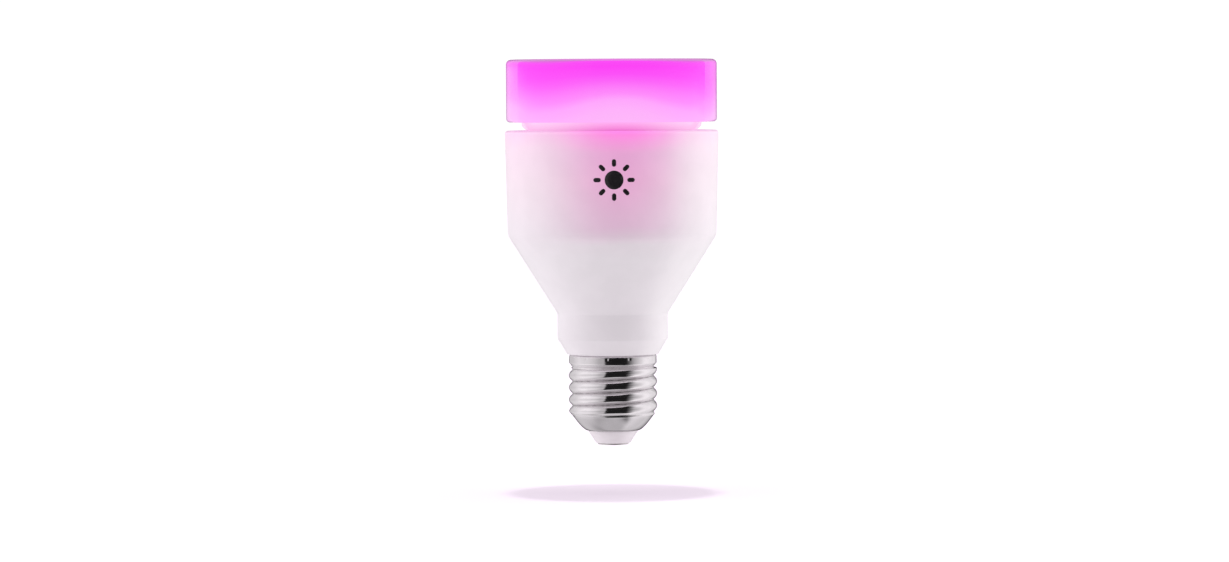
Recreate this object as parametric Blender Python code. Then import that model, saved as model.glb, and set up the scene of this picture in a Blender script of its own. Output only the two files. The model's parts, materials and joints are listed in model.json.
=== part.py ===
"""Smart light bulb with an E27 screw cap, in metres, with +Z up.

The origin is the centre of the end contact's face, and +Z runs up the bulb's axis to its flat top.
The front is -Y. Every piece is its own object, and nothing on this bulb moves in use.
"""

import math

import bmesh
import bpy
from mathutils import Matrix, Vector

MM = 0.001

# Driving dimensions of the whole bulb
TOTAL_HEIGHT = 115.2 * MM
GAP = 0.3 * MM  # between pieces that touch on the real bulb

# Head: a thick-walled diffuser cup, welded to a ring whose neck snaps into the body
HEAD_RADIUS = 31.5 * MM
HEAD_BOTTOM = 96.5 * MM
HEAD_WALL = 3.5 * MM
HEAD_TOP_WALL = 1.3 * MM
HEAD_TOP_ROUND = 1.5 * MM
HEAD_BOTTOM_ROUND = 1.1 * MM
NECK_RADIUS = 26.5 * MM
NECK_INNER_TOP = 24.9 * MM
NECK_INNER_FOOT = 23.6 * MM
NECK_BEAD = 0.9 * MM
RING_THICKNESS = 2.0 * MM

# Body: a barrel, a cone, a collar and a chamfer down to the cap
BODY_TOP = 94.0 * MM
BARREL_TOP_RADIUS = 31.95 * MM
BARREL_FOOT_RADIUS = 31.2 * MM
COLLAR_RADIUS = 16.5 * MM
COLLAR_TOP = 39.3 * MM
COLLAR_FOOT = 31.8 * MM
BODY_FOOT = 27.1 * MM
BODY_FOOT_RADIUS = 13.65 * MM
CONE_SLOPE = math.radians(32.2)  # from the axis
SHOULDER_ROUND = 4.0 * MM
COLLAR_ROUND = 1.5 * MM
BODY_WALL = 1.6 * MM
BODY_LIP = 2.1 * MM
NECK_HOLE_RADIUS = 27.0 * MM
PLUG_RADIUS = 11.3 * MM
PLUG_BORE = 9.9 * MM
PLUG_FOOT = 11.5 * MM

# Heat sink and sleeve, each inside the one before
SINK_WALL = 1.4 * MM
SINK_PLATE = 3.0 * MM
SINK_TOP = 89.4 * MM
SINK_FOOT = 33.4 * MM
SLEEVE_WALL = 1.0 * MM
SLEEVE_TOP = 86.0 * MM
SLEEVE_FOOT = 33.0 * MM
SINK_INSET = BODY_WALL + GAP
SLEEVE_INSET = SINK_INSET + SINK_WALL + GAP

# E27 screw cap: seven threads to the inch, rolled in thin sheet
THREAD_PITCH = 25.4 / 7 * MM
CREST_RADIUS = 13.2 * MM
ROOT_RADIUS = 12.1 * MM
SHELL_SHEET = 0.5 * MM
SHELL_TOP = 26.8 * MM
SHELL_BAND_RADIUS = 13.05 * MM
THREAD_TOP = 23.0 * MM
THREAD_FOOT = 8.6 * MM
SHELL_FOOT = 4.3 * MM
# Height and radius up the shell's domed foot below the thread, in millimetres
DOME = ((4.3, 8.2), (4.9, 8.8), (5.6, 9.9), (6.6, 10.75), (7.6, 11.5))
THREAD_FADE = 1.2 * MM
THREAD_PHASE = math.radians(300)
CONTACT_RADIUS = 4.7 * MM
CONTACT_THICKNESS = 0.5 * MM
STEM_RADIUS = 1.6 * MM
STEM_TOP = 5.6 * MM
INSULATOR_FOOT = CONTACT_THICKNESS + GAP

# Light engine, stacked on the heat sink's plate
PAD_THICKNESS = 0.4 * MM
LED_BOARD_RADIUS = 22.6 * MM
LED_BOARD_THICKNESS = 1.6 * MM
LED_BOARD_FOOT = SINK_TOP + PAD_THICKNESS + 2 * GAP
LED_BOARD_TOP = LED_BOARD_FOOT + LED_BOARD_THICKNESS
ON_LED_BOARD = LED_BOARD_TOP + GAP
LED_SIDE = 3.5 * MM
LED_BASE = 0.75 * MM
LED_RING_RADIUS = 18.6 * MM
LEDS_IN_RING = 12
INNER_LEDS = ((7.0 * MM, 7.5 * MM), (-7.0 * MM, 7.5 * MM), (4.2 * MM, -9.0 * MM), (-4.2 * MM, -9.0 * MM))
SCREW_CIRCLE = 12.0 * MM
SCREW_COUNT = 3
SCREW_RADIUS = 1.5 * MM
SCREW_HEAD_RADIUS = 2.7 * MM
SCREW_HEAD_HEIGHT = 1.9 * MM
SCREW_HOLE_RADIUS = SCREW_RADIUS + GAP
WIRE_HOLE_AT = (0.0, -8.5 * MM)
WIRE_HOLE_RADIUS = 1.9 * MM
WIRE_RADIUS = 0.55 * MM

# Driver board, upright behind the axis, and the radio board on the axis
DRIVER_FRONT = 3.7 * MM
DRIVER_BACK = 5.3 * MM
DRIVER_FOOT = 14.0 * MM
DRIVER_TOP = 84.0 * MM
DRIVER_TAIL_WIDTH = 14.8 * MM
DRIVER_TOP_WIDTH = 47.0 * MM
RADIO_BOARD_WIDTH = 16.0 * MM
RADIO_BOARD_THICKNESS = 1.0 * MM
RADIO_BOARD_FOOT = 68.0 * MM
RADIO_BOARD_TOP = 98.5 * MM
SLOT_WIDTH = RADIO_BOARD_WIDTH + 1.2 * MM
SLOT_DEPTH = RADIO_BOARD_THICKNESS + 1.4 * MM

# Mesh fineness
TURN_STEPS = 48
HIDDEN_TURN_STEPS = 32
SMALL_TURN_STEPS = 16
ROUND_STEPS = 3
HIDDEN_ROUND_STEPS = 1
THREAD_STEPS = 36
ROWS_PER_PITCH = 6
SMOOTH_ANGLE = math.radians(35)


# ---------------------------------------------------------------- materials


def material(name, colour, roughness, metallic=0.0):
    made = bpy.data.materials.new(name)
    made.use_nodes = True
    shader = made.node_tree.nodes["Principled BSDF"]
    shader.inputs["Base Color"].default_value = (*colour, 1.0)
    shader.inputs["Roughness"].default_value = roughness
    shader.inputs["Metallic"].default_value = metallic
    return made


def make_materials():
    return {
        "diffuser": material("lit_diffuser", (0.94, 0.16, 0.90), 0.4),
        "neck": material("lit_neck", (0.98, 0.55, 0.88), 0.4),
        "housing": material("white_housing", (0.83, 0.80, 0.83), 0.42),
        "nickel": material("nickel_plate", (0.80, 0.79, 0.80), 0.12, 1.0),
        "insulator": material("cap_insulator_white", (0.80, 0.74, 0.79), 0.35),
        "aluminium": material("cast_aluminium", (0.62, 0.63, 0.65), 0.45, 1.0),
        "sleeve": material("sleeve_plastic", (0.88, 0.88, 0.86), 0.5),
        "pad": material("thermal_pad_grey", (0.42, 0.44, 0.47), 0.8),
        "white_board": material("white_board", (0.90, 0.90, 0.88), 0.4),
        "green_board": material("green_board", (0.03, 0.22, 0.09), 0.4),
        "led_white": material("led_phosphor", (0.93, 0.80, 0.25), 0.3),
        "led_colour": material("led_clear_dome", (0.86, 0.88, 0.90), 0.1),
        "steel": material("zinc_steel", (0.72, 0.72, 0.70), 0.3, 1.0),
        "ferrite": material("ferrite", (0.06, 0.06, 0.07), 0.6),
        "tape": material("winding_tape", (0.90, 0.66, 0.10), 0.35),
        "can": material("capacitor_sleeve", (0.04, 0.07, 0.16), 0.35),
        "film": material("film_capacitor_yellow", (0.80, 0.55, 0.12), 0.4),
        "black": material("moulded_black", (0.03, 0.03, 0.035), 0.45),
        "resistor": material("resistor_coat", (0.25, 0.42, 0.36), 0.4),
        "varistor": material("varistor_coat", (0.05, 0.16, 0.55), 0.35),
        "copper": material("enamelled_copper", (0.72, 0.32, 0.12), 0.3, 1.0),
        "connector": material("connector_nylon", (0.88, 0.86, 0.80), 0.4),
        "red_wire": material("red_wire", (0.60, 0.03, 0.03), 0.4),
        "black_wire": material("black_wire", (0.02, 0.02, 0.02), 0.4),
    }


# ---------------------------------------------------------------- shape helpers


def clear_scene():
    for thing in list(bpy.data.objects):
        bpy.data.objects.remove(thing)


def add_object(name, mesh, look, at=(0.0, 0.0, 0.0)):
    mesh.shade_smooth()
    mesh.set_sharp_from_angle(angle=SMOOTH_ANGLE)
    mesh.materials.append(look)
    made = bpy.data.objects.new(name, mesh)
    made.location = at
    bpy.context.scene.collection.objects.link(made)
    return made


def mesh_from(shape, name):
    bmesh.ops.remove_doubles(shape, verts=shape.verts, dist=1e-6)
    bmesh.ops.recalc_face_normals(shape, faces=shape.faces)
    mesh = bpy.data.meshes.new(name)
    shape.to_mesh(mesh)
    shape.free()
    return mesh


def rounded(corners, steps=ROUND_STEPS):
    """A profile's (r, z, radius) corners as (r, z) points, with an arc of that radius at each corner."""
    points = []
    for index, (r, z, radius) in enumerate(corners):
        here = Vector((r, z))
        if radius == 0:
            points.append(here)
            continue
        before = Vector(corners[index - 1][:2]) - here
        after = Vector(corners[(index + 1) % len(corners)][:2]) - here
        half = before.angle(after) / 2
        back = radius / math.tan(half)
        centre = here + (before.normalized() + after.normalized()).normalized() * radius / math.sin(half)
        start = here + before.normalized() * back - centre
        end = here + after.normalized() * back - centre
        sweep = start.angle_signed(end)
        for step in range(steps + 1):
            turn = Matrix.Rotation(-sweep * step / steps, 2)
            points.append(centre + turn @ start)
    return points


def spun(corners, segments, steps=ROUND_STEPS):
    """The bmesh of a profile turned about +Z. A profile that starts and ends on the axis stays open."""
    shape = bmesh.new()
    points = rounded(corners, steps)
    ring = [shape.verts.new((point.x, 0.0, point.y)) for point in points]
    edges = [shape.edges.new(pair) for pair in zip(ring, ring[1:])]
    if points[0].x > 0 or points[-1].x > 0:
        edges.append(shape.edges.new((ring[-1], ring[0])))
    bmesh.ops.spin(
        shape,
        geom=ring + edges,
        cent=(0, 0, 0),
        axis=(0, 0, 1),
        angle=math.tau,
        steps=segments,
        use_merge=True,
    )
    return shape


def turned(name, corners, look, segments=TURN_STEPS, at=(0.0, 0.0, 0.0), steps=ROUND_STEPS):
    return add_object(name, mesh_from(spun(corners, segments, steps), name), look, at)


def block(name, size, look, at, bevel=0.0):
    """A box of that size, centred on at, with bevelled edges."""
    shape = bmesh.new()
    bmesh.ops.create_cube(shape, size=1.0, matrix=Matrix.Diagonal((*size, 1.0)))
    if bevel:
        edges = list(shape.edges)
        bmesh.ops.bevel(shape, geom=edges, offset=bevel, segments=2, profile=0.5, affect="EDGES")
    return add_object(name, mesh_from(shape, name), look, at)


def raise_face(shape, face, offset):
    """Extrude one face by an offset, so that it becomes a closed prism."""
    grown = bmesh.ops.extrude_face_region(shape, geom=[face])
    moved = [item for item in grown["geom"] if isinstance(item, bmesh.types.BMVert)]
    bmesh.ops.translate(shape, verts=moved, vec=offset)


def upright_plate(name, outline, low_y, high_y, look):
    """A flat piece standing in XZ: an outline of (x, z) points extruded from low_y to high_y."""
    shape = bmesh.new()
    face = shape.faces.new([shape.verts.new((x, low_y, z)) for x, z in outline])
    raise_face(shape, face, (0.0, high_y - low_y, 0.0))
    return add_object(name, mesh_from(shape, name), look)


def curve_points(knots, per_span=3):
    """Points of a smooth curve through the knots."""
    points = []
    for index in range(len(knots) - 1):
        a = Vector(knots[max(index - 1, 0)])
        b = Vector(knots[index])
        c = Vector(knots[index + 1])
        d = Vector(knots[min(index + 2, len(knots) - 1)])
        for step in range(per_span):
            t = step / per_span
            bend = 2 * a - 5 * b + 4 * c - d
            twist = 3 * b - a - 3 * c + d
            points.append((2 * b + (c - a) * t + bend * t**2 + twist * t**3) / 2)
    return [*points, Vector(knots[-1])]


def wire(name, knots, radius, look):
    """An insulated wire along a smooth curve through the knots, with closed ends."""
    data = bpy.data.curves.new(name, "CURVE")
    data.dimensions = "3D"
    data.bevel_depth = radius
    data.bevel_resolution = 1
    data.use_fill_caps = True
    points = curve_points(knots)
    line = data.splines.new("POLY")
    line.points.add(len(points) - 1)
    for target, point in zip(line.points, points):
        target.co = (*point, 1.0)
    data.materials.append(look)
    made = bpy.data.objects.new(name, data)
    bpy.context.scene.collection.objects.link(made)
    return made


def hidden_cutter(name, shape):
    cutter = bpy.data.objects.new(name, mesh_from(shape, name))
    cutter.hide_render = True
    cutter.display_type = "WIRE"
    bpy.context.scene.collection.objects.link(cutter)
    return cutter


def cut(target, cutter):
    modifier = target.modifiers.new("cut_" + cutter.name, "BOOLEAN")
    modifier.operation = "DIFFERENCE"
    modifier.object = cutter


def add_cylinder(shape, x, y, low, high, radius, segments=SMALL_TURN_STEPS):
    bmesh.ops.create_cone(
        shape,
        cap_ends=True,
        segments=segments,
        radius1=radius,
        radius2=radius,
        depth=high - low,
        matrix=Matrix.Translation((x, y, (low + high) / 2)),
    )


def add_box(shape, low, high):
    size = Vector(high) - Vector(low)
    centre = (Vector(high) + Vector(low)) / 2
    place = Matrix.Translation(centre) @ Matrix.Diagonal((*size, 1.0))
    bmesh.ops.create_cube(shape, size=1.0, matrix=place)


def around(count, radius, first=0.0):
    """(x, y, angle) of count places spread evenly on a circle."""
    angles = [first + math.tau * index / count for index in range(count)]
    return [(radius * math.cos(angle), radius * math.sin(angle), angle) for angle in angles]


# ---------------------------------------------------------------- the body's outline


def body_line(inset, top, foot, shoulder_round=0.0, collar_round=0.0):
    """Corners of the body's outline from top to foot, moved inwards by inset along its normal."""
    sideways = inset / math.cos(CONE_SLOPE)
    barrel = BARREL_FOOT_RADIUS - inset
    collar = COLLAR_RADIUS - inset
    cone_start = COLLAR_TOP + (sideways - inset) / math.tan(CONE_SLOPE)
    shoulder = cone_start + (barrel - collar) / math.tan(CONE_SLOPE)
    return [
        (BARREL_TOP_RADIUS - inset, top, 0.0),
        (barrel, shoulder, shoulder_round),
        (collar, cone_start, collar_round),
        (collar, foot, 0.0),
    ]


# ---------------------------------------------------------------- head


def make_head(looks):
    inner = HEAD_RADIUS - HEAD_WALL
    turned(
        "diffuser_cap",
        [
            (0.0, TOTAL_HEIGHT, 0.0),
            (HEAD_RADIUS, TOTAL_HEIGHT, HEAD_TOP_ROUND),
            (HEAD_RADIUS, HEAD_BOTTOM, HEAD_BOTTOM_ROUND),
            (inner, HEAD_BOTTOM, 0.0),
            (inner, TOTAL_HEIGHT - HEAD_TOP_WALL, 1.0 * MM),
            (0.0, TOTAL_HEIGHT - HEAD_TOP_WALL, 0.0),
        ],
        looks["diffuser"],
    )
    foot = SINK_TOP + 2 * GAP
    bead_low = foot + 0.2 * MM
    bead_high = BODY_TOP - BODY_LIP - GAP
    ring = inner - GAP
    turned(
        "diffuser_ring",
        [
            (ring, HEAD_BOTTOM + RING_THICKNESS, 0.0),
            (ring, HEAD_BOTTOM, 0.0),
            (NECK_RADIUS, HEAD_BOTTOM, 0.0),
            (NECK_RADIUS, bead_high, 0.0),
            (NECK_RADIUS + NECK_BEAD, bead_high - 0.2 * MM, 0.0),
            (NECK_RADIUS, bead_low, 0.0),
            (NECK_RADIUS, foot, 0.0),
            (NECK_INNER_FOOT, foot, 0.0),
            (NECK_INNER_TOP, HEAD_BOTTOM, 0.0),
            (NECK_INNER_TOP, HEAD_BOTTOM + RING_THICKNESS, 0.0),
        ],
        looks["neck"],
    )


# ---------------------------------------------------------------- body, heat sink and sleeve


def make_body(looks):
    outer = body_line(0.0, BODY_TOP, COLLAR_FOOT, SHOULDER_ROUND, COLLAR_ROUND)
    outer[0] = (BARREL_TOP_RADIUS, BODY_TOP, 0.9 * MM)
    outer[-1] = (COLLAR_RADIUS, COLLAR_FOOT, 1.0 * MM)
    inner = body_line(BODY_WALL, BODY_TOP - BODY_LIP, COLLAR_FOOT + 0.6 * MM)
    turned(
        "body_shell",
        [
            (NECK_HOLE_RADIUS, BODY_TOP, 0.0),
            *outer,
            (BODY_FOOT_RADIUS, BODY_FOOT, 0.0),
            (PLUG_RADIUS, BODY_FOOT, 0.0),
            (PLUG_RADIUS, PLUG_FOOT, 0.4 * MM),
            (PLUG_BORE, PLUG_FOOT, 0.0),
            (PLUG_BORE, BODY_FOOT + 2.2 * MM, 0.0),
            *reversed(inner),
            (NECK_HOLE_RADIUS, BODY_TOP - BODY_LIP, 0.0),
        ],
        looks["housing"],
    )


def make_heat_sink(looks, holes):
    outer = body_line(SINK_INSET, SINK_TOP, SINK_FOOT)
    inner = body_line(SINK_INSET + SINK_WALL, SINK_TOP - SINK_PLATE, SINK_FOOT)
    sink = turned(
        "heat_sink",
        [
            (0.0, SINK_TOP, 0.0),
            *outer,
            *reversed(inner),
            (0.0, SINK_TOP - SINK_PLATE, 0.0),
        ],
        looks["aluminium"],
        HIDDEN_TURN_STEPS,
        steps=HIDDEN_ROUND_STEPS,
    )
    cut(sink, holes)


def make_sleeve(looks):
    outer = body_line(SLEEVE_INSET, SLEEVE_TOP, SLEEVE_FOOT)
    inner = body_line(SLEEVE_INSET + SLEEVE_WALL, SLEEVE_TOP, SLEEVE_FOOT)
    turned(
        "driver_sleeve",
        [*outer, *reversed(inner)],
        looks["sleeve"],
        HIDDEN_TURN_STEPS,
        steps=HIDDEN_ROUND_STEPS,
    )


# ---------------------------------------------------------------- light engine


def board_holes():
    """One cutter for the screw holes, radio slot and wire hole through the plate, pad and LED board."""
    low = SINK_TOP - SINK_PLATE - 1.0 * MM
    high = LED_BOARD_TOP + 1.0 * MM
    shape = bmesh.new()
    for x, y, _ in around(SCREW_COUNT, SCREW_CIRCLE, math.pi / 2):
        add_cylinder(shape, x, y, low, high, SCREW_HOLE_RADIUS)
    add_cylinder(shape, *WIRE_HOLE_AT, low, high, WIRE_HOLE_RADIUS)
    add_box(shape, (-SLOT_WIDTH / 2, -SLOT_DEPTH / 2, low), (SLOT_WIDTH / 2, SLOT_DEPTH / 2, high))
    return hidden_cutter("board_holes", shape)


def disc(name, radius, low, high, look):
    shape = bmesh.new()
    add_cylinder(shape, 0.0, 0.0, low, high, radius, TURN_STEPS)
    return add_object(name, mesh_from(shape, name), look)


def square_ring(side, height, count=12):
    """count points round a square, in the order of a circle's."""
    points = []
    for index in range(count):
        angle = math.tau * index / count
        reach = side / 2 / max(abs(math.cos(angle)), abs(math.sin(angle)))
        points.append((reach * math.cos(angle), reach * math.sin(angle), height))
    return points


def round_ring(radius, height, count=12):
    return [(x, y, height) for x, y, _ in around(count, radius)]


def lofted_mesh(name, rings):
    """The mesh of rings of equal count joined in order, with a face at each end."""
    shape = bmesh.new()
    loops = []
    for ring in rings:
        verts = [shape.verts.new(point) for point in ring]
        loops.append([shape.edges.new(pair) for pair in zip(verts, verts[1:] + verts[:1])])
    for lower, upper in zip(loops, loops[1:]):
        bmesh.ops.bridge_loops(shape, edges=lower + upper)
    bmesh.ops.contextual_create(shape, geom=loops[0])
    bmesh.ops.contextual_create(shape, geom=loops[-1])
    return mesh_from(shape, name)


def led_meshes():
    """A flat phosphor package and a domed colour package, both standing on z = 0."""
    well = 0.42 * LED_SIDE
    flat = [
        square_ring(LED_SIDE, 0.0),
        square_ring(LED_SIDE, LED_BASE),
        round_ring(well, LED_BASE),
        round_ring(well * 0.92, LED_BASE * 0.8),
    ]
    dome_radius = 0.4 * LED_SIDE
    dome = [
        (dome_radius * math.cos(angle), LED_BASE + 0.7 * dome_radius * math.sin(angle))
        for angle in (0.0, 0.4, 0.8, 1.2)
    ]
    domed = [square_ring(LED_SIDE, 0.0), square_ring(LED_SIDE, LED_BASE)]
    domed += [round_ring(radius, height) for radius, height in dome]
    return lofted_mesh("led_flat", flat), lofted_mesh("led_domed", domed)


def make_leds(looks):
    flat, domed = led_meshes()
    flat.materials.append(looks["led_white"])
    domed.materials.append(looks["led_colour"])
    places = around(LEDS_IN_RING, LED_RING_RADIUS)
    places += [(x, y, 0.0) for x, y in INNER_LEDS]
    for index, (x, y, angle) in enumerate(places):
        white = index % 2 == 0
        kind = "white" if white else "colour"
        made = bpy.data.objects.new(f"led_{kind}_{index // 2 + 1}", flat if white else domed)
        made.location = (x, y, ON_LED_BOARD)
        made.rotation_euler = (0.0, 0.0, angle)
        bpy.context.scene.collection.objects.link(made)


def cross_outline(x, y, arm, blade):
    """The twelve corners of a plus sign, in order round its centre."""
    quarter = [(arm / 2, -blade / 2), (arm / 2, blade / 2), (blade / 2, blade / 2)]
    corners = []
    for turn in range(4):
        cosine, sine = round(math.cos(turn * math.pi / 2)), round(math.sin(turn * math.pi / 2))
        corners += [(x + a * cosine - b * sine, y + a * sine + b * cosine) for a, b in quarter]
    return corners


def make_board_screws(looks):
    tip = SINK_TOP - SINK_PLATE + 0.2 * MM
    head_top = ON_LED_BOARD + SCREW_HEAD_HEIGHT
    recess = bmesh.new()
    places = around(SCREW_COUNT, SCREW_CIRCLE, math.pi / 2)
    for x, y, _ in places:
        outline = cross_outline(x, y, 2.6 * MM, 0.7 * MM)
        face = recess.faces.new([recess.verts.new((a, b, head_top - 1.0 * MM)) for a, b in outline])
        raise_face(recess, face, (0.0, 0.0, 2.0 * MM))
    cutter = hidden_cutter("screw_recesses", recess)
    for index, (x, y, _) in enumerate(places):
        screw = turned(
            f"board_screw_{index + 1}",
            [
                (0.0, head_top, 0.0),
                (SCREW_HEAD_RADIUS, head_top, 0.9 * MM),
                (SCREW_HEAD_RADIUS, ON_LED_BOARD, 0.0),
                (SCREW_RADIUS, ON_LED_BOARD, 0.0),
                (SCREW_RADIUS, tip + 0.5 * MM, 0.0),
                (SCREW_RADIUS - 0.5 * MM, tip, 0.0),
                (0.0, tip, 0.0),
            ],
            looks["steel"],
            SMALL_TURN_STEPS,
            (x, y, 0.0),
            HIDDEN_ROUND_STEPS,
        )
        cut(screw, cutter)


def make_light_engine(looks, holes):
    pad_radius = LED_BOARD_RADIUS - 1.0 * MM
    pad = disc("thermal_pad", pad_radius, SINK_TOP + GAP, LED_BOARD_FOOT - GAP, looks["pad"])
    board = disc("led_board", LED_BOARD_RADIUS, LED_BOARD_FOOT, LED_BOARD_TOP, looks["white_board"])
    cut(pad, holes)
    cut(board, holes)
    make_leds(looks)
    make_board_screws(looks)
    connector_front = -15.0 * MM
    connector_back = -11.4 * MM
    connector_height = 2.4 * MM
    block(
        "led_connector",
        (7.0 * MM, connector_back - connector_front, connector_height),
        looks["connector"],
        (0.0, (connector_front + connector_back) / 2, ON_LED_BOARD + connector_height / 2),
        0.3 * MM,
    )
    bend_height = ON_LED_BOARD + connector_height / 2
    for name, side, look in (("positive", 1, "red_wire"), ("negative", -1, "black_wire")):
        x = side * 0.85 * MM
        beside_radio = side * 9.2 * MM
        wire(
            f"led_wire_{name}",
            [
                (beside_radio, DRIVER_FRONT - WIRE_RADIUS - GAP, 81.5 * MM),
                (beside_radio, -1.0 * MM, 84.7 * MM),
                (side * 5.0 * MM, -6.0 * MM, 85.2 * MM),
                (x, WIRE_HOLE_AT[1], SINK_TOP - SINK_PLATE + 0.2 * MM),
                (x, WIRE_HOLE_AT[1], LED_BOARD_TOP),
                (x, connector_back + GAP, bend_height + 0.3 * MM),
            ],
            WIRE_RADIUS,
            looks[look],
        )


# ---------------------------------------------------------------- driver electronics


def make_driver_board(looks):
    tail = DRIVER_TAIL_WIDTH / 2
    top = DRIVER_TOP_WIDTH / 2
    shoulder_low = 41.0 * MM
    start = 9.5 * MM
    shoulder_high = shoulder_low + (top - start) / math.tan(CONE_SLOPE)
    corner = 2.0 * MM
    right = [
        (tail, DRIVER_FOOT),
        (tail, shoulder_low - 3.0 * MM),
        (start, shoulder_low),
        (top, shoulder_high),
        (top, DRIVER_TOP - corner),
        (top - corner, DRIVER_TOP),
    ]
    left = [(-x, z) for x, z in reversed(right)]
    upright_plate("driver_board", right + left, DRIVER_FRONT, DRIVER_BACK, looks["green_board"])


def make_transformer(looks):
    centre = (0.0, -3.0 * MM, 50.0 * MM)
    core_size = (16.0 * MM, 5.0 * MM, 14.0 * MM)
    leg = 4.0 * MM
    rim = 2.1 * MM
    window_high = 9.0 * MM
    window_wide = (core_size[0] - leg - 2 * rim) / 2
    core = block("transformer_core", core_size, looks["ferrite"], centre)
    windows = bmesh.new()
    for side in (-1, 1):
        middle = side * (leg + window_wide) / 2
        add_box(
            windows,
            (middle - window_wide / 2, centre[1] - core_size[1], centre[2] - window_high / 2),
            (middle + window_wide / 2, centre[1] + core_size[1], centre[2] + window_high / 2),
        )
    cut(core, hidden_cutter("core_windows", windows))
    winding_size = (leg + 2 * window_wide - 2 * GAP, 10.8 * MM, window_high - 2 * GAP)
    winding = block("transformer_winding", winding_size, looks["tape"], centre, 0.6 * MM)
    bore = bmesh.new()
    half = (leg / 2 + GAP, core_size[1] / 2 + GAP, window_high)
    add_box(bore, [c - h for c, h in zip(centre, half)], [c + h for c, h in zip(centre, half)])
    cut(winding, hidden_cutter("winding_bore", bore))


def capacitor(name, x, y, low, high, radius, look):
    """A radial electrolytic can with a rolled neck near its rubber end."""
    neck = low + 1.6 * MM
    turned(
        name,
        [
            (0.0, high, 0.0),
            (radius, high, 0.5 * MM),
            (radius, neck + 0.7 * MM, 0.0),
            (radius - 0.4 * MM, neck, 0.0),
            (radius, neck - 0.7 * MM, 0.0),
            (radius, low, 0.3 * MM),
            (0.0, low, 0.0),
        ],
        look,
        SMALL_TURN_STEPS,
        (x, y, 0.0),
        HIDDEN_ROUND_STEPS,
    )


def drum_choke(name, x, y, low, high, radius, look):
    """A drum core with its winding let in between two flanges."""
    flange = 1.0 * MM
    waist = radius - 0.6 * MM
    turned(
        name,
        [
            (0.0, high, 0.0),
            (radius, high, 0.0),
            (radius, high - flange, 0.0),
            (waist, high - flange, 0.0),
            (waist, low + flange, 0.0),
            (radius, low + flange, 0.0),
            (radius, low, 0.0),
            (0.0, low, 0.0),
        ],
        look,
        SMALL_TURN_STEPS,
        (x, y, 0.0),
    )


def make_driver_parts(looks):
    make_transformer(looks)
    capacitor("bulk_capacitor", -14.0 * MM, -2.4 * MM, 60.0 * MM, 77.0 * MM, 5.0 * MM, looks["can"])
    capacitor("output_capacitor", 13.8 * MM, -1.4 * MM, 61.0 * MM, 73.0 * MM, 4.0 * MM, looks["can"])
    drum_choke("input_choke", 0.0, -4.5 * MM, 32.5 * MM, 40.5 * MM, 3.8 * MM, looks["copper"])
    drum_choke("output_inductor", -15.0 * MM, -1.4 * MM, 77.8 * MM, 84.4 * MM, 4.2 * MM, looks["copper"])
    # Name, size, place, bevel and look of each box-shaped part, in millimetres
    boxes = (
        ("film_capacitor", (9.0, 5.5, 8.0), (15.0, 0.6, 79.0), 0.5, "film"),
        ("bridge_rectifier", (8.0, 2.6, 6.4), (0.0, 6.9, 47.0), 0.3, "black"),
        ("driver_chip", (6.0, 1.6, 5.0), (-2.0, 6.4, 60.0), 0.2, "black"),
        ("power_transistor", (6.5, 2.3, 8.0), (11.0, 6.75, 66.0), 0.2, "black"),
    )
    for name, size, place, bevel, look in boxes:
        block(name, Vector(size) * MM, looks[look], Vector(place) * MM, bevel * MM)
    varistor = turned(
        "varistor",
        [
            (0.0, 1.6 * MM, 0.0),
            (3.7 * MM, 1.6 * MM, 0.9 * MM),
            (3.7 * MM, -1.6 * MM, 0.9 * MM),
            (0.0, -1.6 * MM, 0.0),
        ],
        looks["varistor"],
        SMALL_TURN_STEPS,
        (3.6 * MM, -2.0 * MM, 23.5 * MM),
        HIDDEN_ROUND_STEPS,
    )
    varistor.rotation_euler = (math.pi / 2, 0.0, 0.0)


def make_radio(looks):
    half = RADIO_BOARD_WIDTH / 2
    front = -RADIO_BOARD_THICKNESS / 2
    corner = 1.0 * MM
    outline = [
        (half, RADIO_BOARD_FOOT),
        (half, RADIO_BOARD_TOP - corner),
        (half - corner, RADIO_BOARD_TOP),
        (corner - half, RADIO_BOARD_TOP),
        (-half, RADIO_BOARD_TOP - corner),
        (-half, RADIO_BOARD_FOOT),
    ]
    upright_plate("radio_board", outline, front, -front, looks["green_board"])
    shield_depth = 2.2 * MM
    block(
        "radio_shield",
        (12.4 * MM, shield_depth, 12.0 * MM),
        looks["steel"],
        (0.0, front - GAP - shield_depth / 2, 77.6 * MM),
        0.3 * MM,
    )
    block(
        "board_header",
        (13.0 * MM, DRIVER_FRONT + front - 2 * GAP, 2.5 * MM),
        looks["black"],
        (0.0, (DRIVER_FRONT - front) / 2, 70.5 * MM),
    )
    make_antenna(looks, front - GAP)


def make_antenna(looks, back):
    """A meandered strip that stands above the LED board, where the metal can't shade it."""
    strip = 0.8 * MM
    low = 93.4 * MM
    high = 97.6 * MM
    pitch = 2.4 * MM
    turns = 5
    left = -pitch * turns / 2
    upper = []
    lower = []
    for turn in range(turns):
        x = left + turn * pitch
        outside = [(x, high), (x + pitch / 2 + strip, high)]
        inside = [(x + strip, high - strip), (x + pitch / 2, high - strip)]
        foot = [(x + pitch / 2 + strip, low + strip), (x + pitch, low + strip)]
        sole = [(x + pitch / 2, low), (x + pitch + strip, low)]
        upper += outside + foot
        lower += inside + sole
    upper.append((left + turns * pitch, high))
    end = [(left + turns * pitch + strip, high)]
    start = [(left + strip, low), (left, low)]
    outline = upper + end + list(reversed(lower)) + start
    upright_plate("radio_antenna", outline, back - 0.3 * MM, back, looks["copper"])


# ---------------------------------------------------------------- screw cap


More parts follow.
